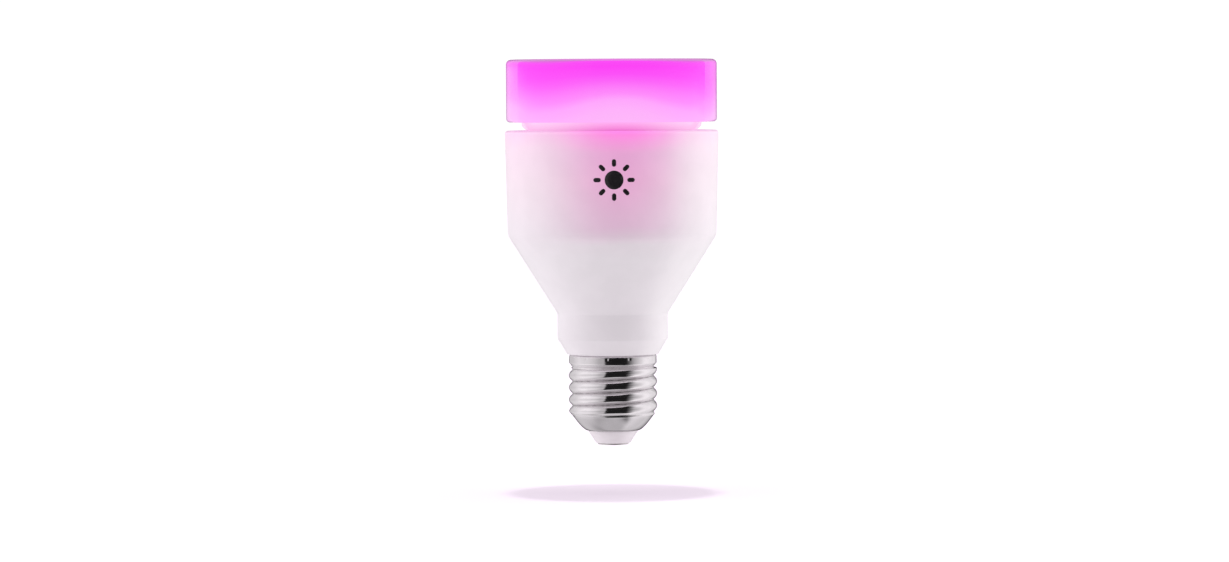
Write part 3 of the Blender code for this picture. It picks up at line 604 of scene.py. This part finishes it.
def led_package(name, ring, window, glow=None):
    """A white or clear LED package, with its round window in the middle."""
    look = Material(name, IOR=1.5, Coat_Weight=0.4, Coat_Roughness=0.12)
    across, along, _ = look.shares()
    off_centre = look.length(look.minus(across, 0.5), look.minus(along, 0.5))
    middle = look.fade_out(off_centre, 0.34, 0.38)
    speckle = look.noise(2600.0)
    darker = tuple(0.7 * part for part in window)
    inside = look.mix(look.spread(speckle, 0.0, 0.35), window, darker)
    look.set(Base_Color=look.mix(middle, ring, inside))
    look.set(Roughness=look.spread(look.noise(900.0), 0.2, 0.38))
    if glow:
        look.set(Emission_Color=look.mix(middle, BLACK, glow), Emission_Strength=0.6)
    look.bumps((speckle, 0.01 * MM, 0.3))
    return look.made


def zinc_steel():
    """Plated steel, brushed one way, with dull finger marks."""
    look = mottled("zinc_steel", (0.72, 0.72, 0.71), (0.60, 0.60, 0.58), 220.0, (0.22, 0.4), Metallic=1.0)
    brushed = look.noise(1800.0, 4.0, 0.7, look.stretched(0.1, 1.0, 1.0))
    look.bumps((brushed, 0.006 * MM, 0.4))
    return look.made


def ferrite():
    """Sintered ferrite: near black, with open pores."""
    look = mottled("ferrite", (0.055, 0.055, 0.062), (0.032, 0.032, 0.038), 400.0, (0.5, 0.72), IOR=1.7)
    pores = look.fade(look.cells(2600.0), 0.1, 0.3)
    look.bumps((pores, 0.02 * MM, 0.5), (look.noise(700.0), 0.03 * MM, 0.3))
    return look.made


def wind(look, turn, depth, strength):
    """Bumps like the turns of a winding stacked along Z."""
    wave = look.math("SINE", look.times(look.axes()[2], math.tau / turn))
    look.bumps((look.math("ABSOLUTE", wave), depth, strength), (look.noise(1800.0), 0.01 * MM, 0.3))


def winding_tape():
    """Glossy yellow tape round the transformer's winding."""
    look = mottled("winding_tape", (0.90, 0.66, 0.10), (0.82, 0.56, 0.06), 150.0, (0.16, 0.3), IOR=1.6)
    look.set(Coat_Weight=0.5, Coat_Roughness=0.08)
    wind(look, 5.6 * MM, 0.05 * MM, 0.3)
    return look.made


def capacitor_sleeve():
    """Dark shrink sleeve with a pale stripe down one side and a bare aluminium top."""
    look = Material("capacitor_sleeve", IOR=1.5, Coat_Weight=0.5, Coat_Roughness=0.1)
    across, _, up = look.shares()
    stripe = look.fade(across, 0.90, 0.905)
    bare = look.fade(up, 0.985, 0.99)
    sleeve = look.mix(look.spread(look.noise(300.0)), (0.035, 0.06, 0.15), (0.05, 0.085, 0.19))
    wrapped = look.mix(stripe, sleeve, (0.62, 0.64, 0.68))
    look.set(Base_Color=look.mix(bare, wrapped, (0.74, 0.75, 0.76)), Metallic=bare)
    look.set(Roughness=look.spread(look.noise(700.0), 0.22, 0.38))
    look.bumps((look.noise(450.0, 2.0), 0.03 * MM, 0.25))
    return look.made


# The resistor's plain colour stripes: how far up it each one starts, and its colour
STRIPES = (
    (0.22, (0.32, 0.13, 0.04)),
    (0.36, (0.02, 0.02, 0.02)),
    (0.50, (0.02, 0.02, 0.02)),
    (0.72, (0.55, 0.38, 0.12)),
)
STRIPE_WIDTH = 0.07
STRIPE_EDGE = 0.006


def resistor_coat():
    """Fireproof coat with four plain colour stripes round it."""
    look = Material("resistor_coat", IOR=1.55)
    up = look.shares()[2]
    grit = look.spread(look.noise(1500.0, 4.0))
    colour = look.mix(grit, (0.23, 0.40, 0.34), (0.29, 0.46, 0.40))
    for low, stripe in STRIPES:
        high = low + STRIPE_WIDTH
        inside = look.window(up, low, low + STRIPE_EDGE, high, high + STRIPE_EDGE)
        colour = look.mix(inside, colour, stripe)
    look.set(Base_Color=colour, Roughness=look.spread(look.noise(500.0), 0.4, 0.6))
    look.bumps((grit, 0.02 * MM, 0.5))
    return look.made


def dipped_coat():
    """Thick dipped lacquer with soft runs."""
    look = mottled("varistor_coat", (0.05, 0.16, 0.55), (0.03, 0.11, 0.42), 200.0, (0.18, 0.34), IOR=1.55)
    look.set(Coat_Weight=0.5, Coat_Roughness=0.08)
    look.bumps((look.noise(260.0, 2.0, 0.5, look.stretched(1.0, 1.0, 0.35)), 0.12 * MM, 0.4))
    return look.made


def copper_drum():
    """A choke: enamelled copper turns between two ferrite flanges."""
    look = Material("copper_drum", IOR=1.6)
    up = look.shares()[2]
    flange = look.plus(look.fade_out(up, 0.14, 0.15), look.fade(up, 0.85, 0.86))
    tone = look.spread(look.noise(700.0))
    copper = look.mix(tone, (0.72, 0.30, 0.11), (0.58, 0.21, 0.07))
    look.set(Base_Color=look.mix(flange, copper, (0.045, 0.045, 0.05)))
    look.set(Metallic=look.minus(1.0, flange))
    look.set(Roughness=look.plus(look.fade(tone, 0.0, 1.0, 0.2, 0.34), look.times(flange, 0.3)))
    wind(look, 0.7 * MM, 0.12 * MM, 0.5)
    return look.made


def copper_trace():
    """Bare etched copper."""
    tones = (0.74, 0.36, 0.16), (0.62, 0.26, 0.10)
    look = mottled("copper_trace", *tones, 500.0, (0.25, 0.42), Metallic=1.0)
    look.bumps(look.grain(1800.0))
    return look.made


def insulation(name, light, dark):
    """Flexible wire insulation with faint draw lines."""
    look = mottled(name, light, dark, 260.0, (0.34, 0.5), IOR=1.5)
    look.bumps((look.noise(1400.0, 3.0, 0.6, look.stretched(1.0, 1.0, 0.15)), 0.012 * MM, 0.4))
    return look.made


def connector_nylon():
    """Cream nylon of the LED plug and the pin header."""
    look = mottled("connector_nylon", (0.88, 0.86, 0.79), (0.80, 0.77, 0.69), 240.0, (0.34, 0.5), IOR=1.53)
    look.bumps(look.grain(2200.0))
    return look.made


def film_coat():
    """Yellow dipped film capacitor."""
    look = mottled("film_capacitor", (0.80, 0.53, 0.10), (0.70, 0.43, 0.07), 200.0, (0.24, 0.4), IOR=1.55)
    look.bumps(look.grain(1700.0))
    return look.made


def moulded_black():
    """Black moulding compound of chips and power parts."""
    look = mottled("moulded_black", (0.030, 0.030, 0.034), (0.020, 0.020, 0.023), 500.0, (0.45, 0.62))
    look.bumps(look.grain(2600.0, 0.02 * MM))
    return look.made


def inner_looks():
    """The looks of the CAD nodes that stay, by the record's slot."""
    white_tones = (0.86, 0.86, 0.83), (0.90, 0.90, 0.88)
    green_tones = (0.012, 0.12, 0.045), (0.03, 0.22, 0.085)
    white_ring, phosphor = (0.86, 0.86, 0.84), (0.93, 0.78, 0.20)
    clear_ring, dome, magenta = (0.70, 0.73, 0.76), (0.88, 0.80, 0.90), (1.0, 0.12, 0.85)
    return {
        "cast_aluminium": cast_aluminium(),
        "sleeve_plastic": sleeve_plastic(),
        "thermal_pad_grey": gap_filler(),
        "white_board": circuit_board("white_board", *white_tones, (2.6 * MM, 2.6 * MM, 9 * MM), 260.0),
        "green_board": circuit_board("green_board", *green_tones, (1.9 * MM, 9 * MM, 1.2 * MM), 420.0),
        "led_phosphor": led_package("led_phosphor", white_ring, phosphor),
        "led_clear_dome": led_package("led_clear_dome", clear_ring, dome, magenta),
        "zinc_steel": zinc_steel(),
        "ferrite": ferrite(),
        "winding_tape": winding_tape(),
        "capacitor_sleeve": capacitor_sleeve(),
        "film_capacitor_yellow": film_coat(),
        "moulded_black": moulded_black(),
        "resistor_coat": resistor_coat(),
        "varistor_coat": dipped_coat(),
        "enamelled_copper": copper_drum(),
        "connector_nylon": connector_nylon(),
        "red_wire": insulation("red_insulation", (0.60, 0.03, 0.03), (0.47, 0.02, 0.02)),
        "black_wire": insulation("black_insulation", (0.024, 0.024, 0.026), (0.014, 0.014, 0.016)),
    }


def dress_inner_nodes():
    """Gives each CAD node that stays the look of its slot; the radio's antenna is a bare trace."""
    looks = inner_looks()
    trace = copper_trace()
    for row in frame["record"]["subparts"]:
        look = trace if row["node"] == "radio_antenna" else looks.get(row["material_slot"])
        if look:
            for held in frame["nodes"][row["node"]].material_slots:
                held.material = look


# ---------------------------------------------------------------- pieces that show


def build_head():
    """The frosted head, with a skin outside and an opal face inside."""
    corners = [
        (0.0, HEAD_TOP, 0.0),
        (HEAD_RADIUS, HEAD_TOP, 1.5 * MM),
        (HEAD_RADIUS, HEAD_BOTTOM, 1.1 * MM),
        (HEAD_INNER, HEAD_BOTTOM, 0.0),
        (HEAD_INNER, HEAD_INNER_TOP, 1.0 * MM),
        (0.0, HEAD_INNER_TOP, 0.0),
    ]
    # the skin ends at the fourth corner, where the sole meets the inner face
    skin_bands = len(rounded(corners[:4])) - 1
    shape = revolved(corners, inner_from=skin_bands)
    mesh = finish_mesh(shape, "frosted_head", [diffuser_skin(), diffuser_opal()])
    place(mesh, "frosted_head", ["diffuser_cap"])


def build_neck():
    """The lit ring under the head and the double-walled neck that goes down into the body."""
    ring_top = HEAD_BOTTOM + 2.0 * MM
    ring_radius = HEAD_INNER - 0.3 * MM
    corners = [
        (24.9 * MM, ring_top, 0.0),
        (ring_radius, ring_top, 0.0),
        (ring_radius, HEAD_BOTTOM, 0.2 * MM),
        (26.9 * MM, HEAD_BOTTOM, 0.3 * MM),
        (26.8 * MM, HEAD_BOTTOM - 1.2 * MM, 0.8 * MM),
        (25.4 * MM, BODY_TOP, 0.0),
        (25.4 * MM, 91.6 * MM, 0.0),
        (NECK_RADIUS + 0.9 * MM, 91.4 * MM, 0.2 * MM),
        (25.8 * MM, 90.2 * MM, 0.0),
        (25.8 * MM, NECK_FOOT, 0.0),
        (23.6 * MM, NECK_FOOT, 0.0),
        (24.9 * MM, BODY_TOP, 0.0),
        (26.2 * MM, HEAD_BOTTOM - 0.2 * MM, 0.0),
    ]
    skin = neck_glow("neck_skin", 0.5, NECK_SKIN_PALE, NECK_SKIN_DEEP)
    opal = neck_glow("neck_opal", 1.0, NECK_OPAL_PALE, NECK_OPAL_DEEP)
    # the last three bands, from the foot back up to the first corner, are the opal inner face
    skin_bands = len(rounded(corners)) - 3
    mesh = finish_mesh(revolved(corners, inner_from=skin_bands), "lit_ring", [skin, opal])
    place(mesh, "lit_ring", ["diffuser_ring"])


def build_housing():
    """The white body: barrel, cone and collar outside, and a wall that follows them inside."""
    corners = [
        (27.0 * MM, BODY_TOP, 0.25 * MM),
        (BARREL_TOP_RADIUS, BODY_TOP, 0.9 * MM),
        (BARREL_FOOT_RADIUS, SHOULDER, 4.0 * MM),
        (COLLAR_RADIUS, COLLAR_TOP, 1.5 * MM),
        (COLLAR_RADIUS, COLLAR_FOOT, 1.0 * MM),
        (13.65 * MM, BODY_FOOT, 0.3 * MM),
        (11.3 * MM, BODY_FOOT, 0.0),
        (11.3 * MM, 11.5 * MM, 0.4 * MM),
        (9.9 * MM, 11.5 * MM, 0.0),
        (9.9 * MM, 29.3 * MM, 0.4 * MM),
        (14.9 * MM, 32.4 * MM, 0.4 * MM),
        (14.9 * MM, 39.76 * MM, 1.0 * MM),
        (29.6 * MM, 63.1 * MM, 2.0 * MM),
        (30.35 * MM, 91.9 * MM, 0.4 * MM),
        (27.0 * MM, 91.9 * MM, 0.0),
    ]
    mesh = finish_mesh(revolved(corners), "housing", [housing_plastic()])
    place(mesh, "housing", ["body_shell"])


def barrel_radius(z):
    """The barrel's outer radius at a height, between its shoulder and its upper rim."""
    return blend(BARREL_FOOT_RADIUS, BARREL_TOP_RADIUS, (z - SHOULDER) / (BODY_TOP - SHOULDER))


def arc(centre, radius, start, end, steps):
    """Points round an arc about (centre, 0), from its start angle to its end angle."""
    angles = [blend(start, end, step / steps) for step in range(steps + 1)]
    return [(centre + radius * math.cos(angle), radius * math.sin(angle)) for angle in angles]


def sun_outlines():
    """A plain brightness symbol in outline: a disc with eight short round-ended rays."""
    disc_radius = 2.75 * MM
    ray_start, ray_end, half = 3.9 * MM, 6.1 * MM, 0.62 * MM
    quarter = math.pi / 2
    ray = arc(ray_end - half, half, -quarter, quarter, 8)
    ray += arc(ray_start + half, half, quarter, 3 * quarter, 8)
    outlines = [arc(0.0, disc_radius, 0.0, math.tau, 48)[:-1]]
    for count in range(8):
        turn = Matrix.Rotation(math.tau * count / 8, 2)
        outlines.append([tuple(turn @ Vector(point)) for point in ray])
    return outlines


def build_print():
    """The brightness symbol, printed on the front of the barrel."""
    centre = 79.7 * MM
    off_centre = 0.65 * MM
    ink = 0.04 * MM
    shape = bmesh.new()
    for outline in sun_outlines():
        face = shape.faces.new([shape.verts.new((across, up, 0.0)) for across, up in outline])
        bmesh.ops.triangulate(shape, faces=[face])
    long_edges = [edge for edge in shape.edges if edge.calc_length() > 1.2 * MM]
    bmesh.ops.subdivide_edges(shape, edges=long_edges, cuts=3)
    for vert in shape.verts:
        across, up, _ = vert.co
        radius = barrel_radius(centre + up) + ink / 2
        angle = (across + off_centre) / radius
        vert.co = (radius * math.sin(angle), -radius * math.cos(angle), centre + up)
    mesh = finish_mesh(shape, "brightness_print", [print_ink()])
    piece = place(mesh, "brightness_print")
    thick = piece.modifiers.new("ink", "SOLIDIFY")
    thick.thickness = ink
    thick.offset = 0.0


def thread_wave(phase):
    """Height of the thread between 0 at a root and 1 at a crest; crests are broad and roots are narrow."""
    softness = 0.04
    tallest = 0.961
    return (math.hypot(math.cos(phase / 2), softness) - softness) / tallest


def dome_radius(z):
    """Outer radius of the domed foot of the screw shell, up to where its thread starts."""
    foot_radius, swell = 8.0 * MM, 4.3 * MM
    return foot_radius + swell * share_of(z, SHELL_FOOT, THREAD_FOOT - 0.3 * MM) ** 0.75


def shell_profile(angle, z):
    """The screw shell's outer radius at a turn and a height, and the crest attribute there."""
    wave = thread_wave(math.tau * z / THREAD_PITCH - angle + THREAD_PHASE)
    threaded = blend(ROOT_RADIUS, CREST_RADIUS, wave)
    if z > BAND_FOOT:
        flank = share_of(z, FLANK_TOP, FLANK_FOOT)
        band = BAND_RADIUS - FLANK_DEPTH * flank - ROLL_DEPTH * smooth_step(z, ROLL_START, BODY_FOOT)
        # the rolled rim is as dull as a root, and the flank is marked by a value above 1
        crest = 1 - 0.7 * smooth_step(z, DULL_START, DULL_FULL) + 0.8 * min(1.0, 8 * flank)
        share = smooth_step(z, BAND_FOOT, BAND_FULL)
        return blend(threaded, band, share), blend(wave, crest, share)
    share = smooth_step(z, THREAD_FOOT - 0.8 * MM, THREAD_FOOT + 0.8 * MM)
    crease = 1 - 2.4 * share * (1 - share)
    return blend(dome_radius(z), threaded, share), max(wave, 1 - share) * crease


def punch_depth(angle, z):
    """How far the twelve punch marks under the shell's rim press it in."""
    spacing = math.tau / 12
    first = math.radians(-97.4)
    middle = 26.05 * MM
    half_width, half_height, deepest = 0.325 * MM, 0.52 * MM, 0.17 * MM
    off_mark = (angle - first + spacing / 2) % spacing - spacing / 2
    reach = math.hypot(off_mark * 13.0 * MM / half_width, (z - middle) / half_height)
    return deepest * max(0.0, 1 - reach * reach)


def build_screw_shell():
    """The shell's rolled sheet; its inner face has a third of the rows and no punch marks."""
    segments = 240
    rows = 168
    sheet = 0.45 * MM
    turns = [math.tau * step / segments for step in range(segments)]
    heights = [blend(SHELL_FOOT, SHELL_TOP, row / rows) for row in range(rows + 1)]
    shape = bmesh.new()
    attribute = shape.verts.layers.float.new("crest")
    rings = []
    for z in heights:
        ring = []
        for angle in turns:
            radius, crest = shell_profile(angle, z)
            radius -= punch_depth(angle, z)
            vert = shape.verts.new((radius * math.cos(angle), radius * math.sin(angle), z))
            vert[attribute] = crest
            ring.append(vert)
        rings.append(ring)
    for z in reversed(heights[::3]):
        ring = []
        for angle in turns:
            radius = shell_profile(angle, z)[0] - sheet
            ring.append(shape.verts.new((radius * math.cos(angle), radius * math.sin(angle), z)))
        rings.append(ring)
    for index, ring in enumerate(rings):
        following = rings[(index + 1) % len(rings)]
        for step in range(segments):
            ahead = (step + 1) % segments
            shape.faces.new((ring[step], ring[ahead], following[ahead], following[step]))
    mesh = finish_mesh(shape, "nickel_shell", [nickel()], 60)
    place(mesh, "nickel_shell", ["screw_shell"])


def build_insulator():
    """The white cone between the shell's foot and the end contact."""
    corners = [
        (2.0 * MM, 0.45 * MM, 0.0),
        (5.1 * MM, 0.45 * MM, 0.45 * MM),
        (7.4 * MM, 4.05 * MM, 0.25 * MM),
        (7.4 * MM, 4.8 * MM, 0.0),
        (8.2 * MM, 5.5 * MM, 0.0),
        (10.0 * MM, 7.4 * MM, 0.0),
        (10.3 * MM, 8.6 * MM, 0.0),
        (2.0 * MM, 8.6 * MM, 0.0),
    ]
    mesh = finish_mesh(revolved(corners), "white_insulator", [insulator_plastic()])
    place(mesh, "white_insulator", ["cap_insulator"])


def build_contact():
    """The end contact: a rounded disc with a shallow dish in it, and a stem that goes up inside."""
    corners = [
        (0.0, 5.6 * MM, 0.0),
        (1.6 * MM, 5.6 * MM, 0.4 * MM),
        (1.6 * MM, 0.4 * MM, 0.0),
        (4.6 * MM, 0.4 * MM, 0.1 * MM),
        (4.6 * MM, 0.0, 0.28 * MM),
        (2.1 * MM, 0.0, 0.25 * MM),
        (1.7 * MM, 0.35 * MM, 0.2 * MM),
        (0.0, 0.35 * MM, 0.0),
    ]
    mesh = finish_mesh(revolved(corners, 96), "end_contact", [contact_metal()])
    place(mesh, "end_contact", ["centre_contact"])


# ---------------------------------------------------------------- stage


def build_floor():
    """A pale floor a little below the bulb, which neither mirrors it nor sends light up to it."""
    half_side = 8.0
    below = 14.7 * MM
    shape = bmesh.new()
    bmesh.ops.create_grid(shape, x_segments=2, y_segments=2, size=half_side)
    look = Material("pale_floor", Roughness=0.9)
    tone = look.spread(look.noise(3.0, 2.0))
    look.set(Base_Color=look.mix(tone, (0.87, 0.775, 0.885), (0.88, 0.785, 0.895)))
    floor = bpy.data.objects.new("floor", finish_mesh(shape, "floor", [look.made]))
    bpy.context.scene.collection.objects.link(floor)
    floor.location.z = -below
    floor.visible_glossy = False
    floor.visible_diffuse = False


# Brightness that polished metal mirrors from each direction round the bulb, in degrees from the front
PANEL_PEAK = 1.2
PANEL_LEVELS = (
    (-180, 0.50),
    (-165, 0.55),
    (-150, 0.68),
    (-122, 0.75),
    (-102, 0.90),
    (-72, 0.83),
    (-60, 0.77),
    (-48, 0.67),
    (-36, 0.52),
    (-20, 0.48),
    (50, 0.50),
    (64, 0.62),
    (76, 0.87),
    (90, 1.12),
    (106, 1.17),
    (128, 1.00),
    (142, 1.00),
    (152, 0.75),
    (160, 0.50),
    (180, 0.50),
)


def soft_light(sky, turn, rise):
    """The light that everything but polished metal gets: dimmer from in front and from behind."""
    brightness, front_dimming, rear_dimming = 1.4, 0.64, 0.45
    near_level = sky.window(rise, -88, -50, 40, 85)
    front = sky.times(sky.window(turn, -60, -12, 22, 62), near_level)
    aside = sky.math("ABSOLUTE", sky.minus(turn, 8))
    rear = sky.times(sky.fade(aside, 118, 165), near_level)
    dim = sky.plus(sky.times(front, front_dimming), sky.times(rear, rear_dimming))
    return sky.times(sky.minus(1.0, dim), brightness)


def mirrored_light(sky, turn, rise, glossy_depth):
    """What polished metal mirrors: panels at the sides, a black gap in front and a dark flag behind."""
    steepness = sky.math("ABSOLUTE", rise)
    stops = [((angle + 180) / 360, (level / PANEL_PEAK,) * 3) for angle, level in PANEL_LEVELS]
    panels = sky.times(sky.ramp(sky.fade(turn, -180, 180, shape="LINEAR"), stops), PANEL_PEAK)
    lift = sky.times(sky.fade(steepness, 0, 38, 1.0, 1.26), sky.fade(steepness, 38, 66, 1.0, 0.60))
    lift = sky.mix_values(sky.fade(turn, 50, 80), lift, 0.93)
    lit = sky.mix_values(sky.fade(steepness, 64, 76), sky.times(panels, lift), 0.72)
    flag = sky.times(sky.fade(sky.math("ABSOLUTE", turn), 157, 170), sky.fade_out(steepness, 25, 50))
    lit = sky.times(lit, sky.minus(1.0, sky.times(flag, 0.8)))

    # the gap narrows towards the poles, and is nearly gone in a reflection of a reflection
    lean = sky.times(turn, sky.fade(steepness, 20, 70, 1.0, 0.6))
    gap = sky.times(sky.window(lean, -24, -18, 34, 66), sky.fade_out(steepness, 64, 72))
    again = sky.math("GREATER_THAN", glossy_depth, 1.5)
    darkness = sky.minus(0.975, sky.times(again, 0.88))
    return sky.times(lit, sky.minus(1.0, sky.times(gap, darkness)))


def build_world():
    """A white studio, whose light depends on the direction round the bulb and on the kind of ray."""
    world = bpy.data.worlds.new("studio")
    bpy.context.scene.world = world
    world.use_nodes = True
    sky = Nodes(world.node_tree)
    across, away, up = sky.split(sky.add("TexCoord").outputs["Generated"])
    turn = sky.math("DEGREES", sky.math("ARCTAN2", across, sky.times(away, -1.0)))
    rise = sky.math("DEGREES", sky.math("ARCSINE", up))
    rays = sky.add("LightPath").outputs
    soft = soft_light(sky, turn, rise)
    mirrored = mirrored_light(sky, turn, rise, rays["Glossy Depth"])
    strength = sky.mix_values(rays["Is Glossy Ray"], soft, mirrored)
    seen = sky.mix_values(rays["Is Camera Ray"], strength, 1.05)
    background = world.node_tree.nodes["Background"]
    background.inputs[0].default_value = (1.0, 0.985, 0.995, 1.0)
    sky.feed(background.inputs[1], seen)


def build_sun():
    """A weak sun straight overhead, which only lights and isn't itself seen or mirrored."""
    data = bpy.data.lights.new("overhead", "SUN")
    data.energy = 0.9
    data.angle = math.radians(4)
    sun = bpy.data.objects.new("overhead", data)
    sun.location = (0, 0, 1)
    sun.visible_camera = False
    sun.visible_glossy = False
    bpy.context.scene.collection.objects.link(sun)


def build_camera():
    """A long lens in front of the bulb and a little above its middle, rolled very slightly."""
    distance = 1.41
    across = 0.62 * MM
    eye = 105 * MM
    aim_height = 48.9 * MM
    data = bpy.data.cameras.new("camera")
    data.sensor_width = 36.0
    data.lens = 138.1
    data.clip_start = 0.01
    camera = bpy.data.objects.new("camera", data)
    camera.location = (across, -distance, eye)
    aim = Vector((across, 0.0, aim_height)) - camera.location
    roll = Matrix.Rotation(math.radians(-0.3), 4, "Z")
    camera.rotation_euler = (aim.to_track_quat("-Z", "Y").to_matrix().to_4x4() @ roll).to_euler()
    bpy.context.scene.collection.objects.link(camera)
    bpy.context.scene.camera = camera
    bpy.context.scene.view_settings.view_transform = "Standard"


def main():
    build_head()
    build_neck()
    build_housing()
    build_print()
    build_screw_shell()
    build_insulator()
    build_contact()
    dress_inner_nodes()
    build_floor()
    build_world()
    build_sun()
    build_camera()


main()
